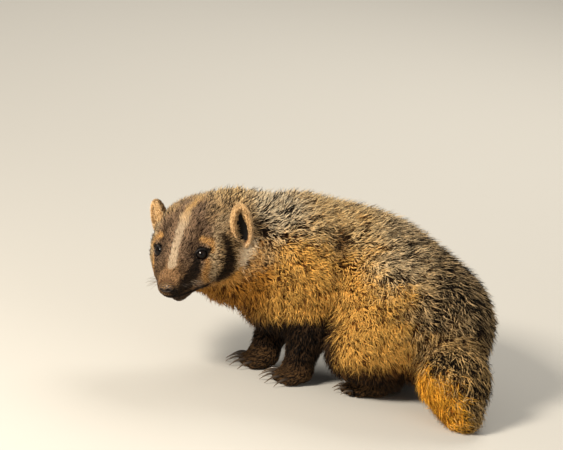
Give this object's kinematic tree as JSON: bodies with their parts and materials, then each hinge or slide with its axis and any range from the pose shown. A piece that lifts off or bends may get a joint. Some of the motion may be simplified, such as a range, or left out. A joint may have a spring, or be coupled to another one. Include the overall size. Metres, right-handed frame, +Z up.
{
  "type": "young american badger model",
  "caption": "Life-size still model of a young American badger standing low with its back arched and its head turned to its left.",
  "frame": {"origin": "on the floor, under the middle of the model's outline seen from above", "axes": "+Z up, head end towards -X, the side that the head and tail are bent to towards -Y"},
  "size_m": [0.4118, 0.2414, 0.2046],
  "materials": {
    "face_fur": "short fur",
    "body_fur": "long shaggy fur",
    "tail_fur": "long shaggy fur",
    "dark_fur": "short fur",
    "ear_fur": "short soft fur",
    "nose_leather": "moist pebbled skin",
    "eye_glass": "polished"
  },
  "bodies": {
    "root": {"head": "face_fur", "neck": "body_fur", "chest": "body_fur", "hindquarters": "body_fur", "tail": "tail_fur", "nose": "nose_leather", "ear_left": "ear_fur", "ear_right": "ear_fur", "eye_left": "eye_glass", "eye_right": "eye_glass", "foreleg_left": "dark_fur", "foreleg_right": "dark_fur", "forepaw_left": "dark_fur", "forepaw_right": "dark_fur", "hindleg_left": "body_fur", "hindleg_right": "body_fur", "hindpaw_left": "dark_fur", "hindpaw_right": "dark_fur"}
  },
  "joints": []
}
